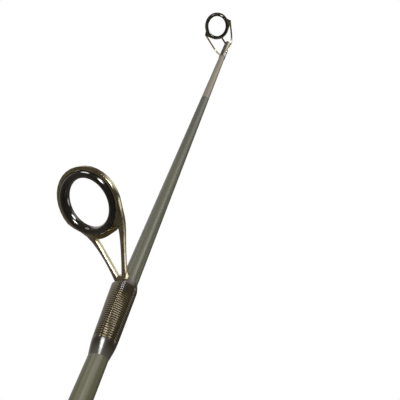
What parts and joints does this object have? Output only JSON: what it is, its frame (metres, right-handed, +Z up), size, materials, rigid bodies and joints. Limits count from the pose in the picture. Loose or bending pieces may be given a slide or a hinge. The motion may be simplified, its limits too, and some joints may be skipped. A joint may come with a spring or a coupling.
{
  "type": "carp rod",
  "caption": "Two-piece carp rod with a spliced solid tip, ringed guides on thread whippings, a screw-locking reel seat and foam grips.",
  "frame": {"origin": "middle of the flat bed on the underside of the reel seat, on which the reel's foot sits", "axes": "+X along the rod towards its tip, +Z up, away from the reel and the line rings, +Y to the left of someone who holds the rod and looks at its tip"},
  "size_m": [2.74, 0.0392, 0.0783],
  "materials": {
    "ceramic": "polished black ceramic",
    "frames": "gunmetal plating with a warm sheen",
    "tube_steel": "drawn steel",
    "trim_steel": "dark satin steel",
    "glass_tip": "satin beige glass fibre",
    "blank": "satin grey carbon fibre",
    "whipping": "dark olive thread under clear gloss resin",
    "seat": "satin black",
    "hoods": "gunmetal plating",
    "liner": "matt black",
    "foam": "closed-cell foam, matt black",
    "cap": "matt black"
  },
  "bodies": {
    "butt_section": {"butt_blank": "blank", "butt_cap": "cap", "butt_grip": "foam", "butt_collar": "trim_steel", "seat_tube": "seat", "rear_arbor": "liner", "front_arbor": "liner", "fixed_hood": "hoods", "fixed_hood_liner": "liner", "foregrip": "foam", "winding_check": "trim_steel", "guide_5_frame": "frames", "guide_5_ring": "ceramic", "guide_5_front_whipping": "whipping", "guide_5_rear_whipping": "whipping"},
    "tip_section": {"tip_blank": "blank", "solid_tip": "glass_tip", "tip_tube": "tube_steel", "tip_frame": "frames", "tip_ring": "ceramic", "ferrule_whipping": "whipping", "guide_1_frame": "frames", "guide_1_ring": "ceramic", "guide_1_whipping": "whipping", "guide_2_frame": "frames", "guide_2_ring": "ceramic", "guide_2_whipping": "whipping", "guide_3_frame": "frames", "guide_3_ring": "ceramic", "guide_3_whipping": "whipping", "guide_4_frame": "frames", "guide_4_ring": "ceramic", "guide_4_front_whipping": "whipping", "guide_4_rear_whipping": "whipping"},
    "hood": {"sliding_hood": "hoods", "sliding_hood_liner": "liner"},
    "nut": {"lock_nut": "hoods"}
  },
  "joints": [
    {"name": "section_slide", "type": "slide", "parent": "butt_section", "child": "tip_section", "axis": [1, 0, 0], "range_m": [0, 0.075]},
    {"name": "hood_slide", "type": "slide", "parent": "butt_section", "child": "hood", "axis": [1, 0, 0], "range_m": [0, 0.012]},
    {"name": "nut_turn", "type": "hinge", "parent": "hood", "child": "nut", "pos_m": [0.057, 0, 0.0084], "axis": [1, 0, 0], "range_deg": [0, 2160]}
  ],
  "couplings": [
    {"joint": "hood_slide", "follows": "nut_turn", "m_per_rad": 0.00031831}
  ]
}
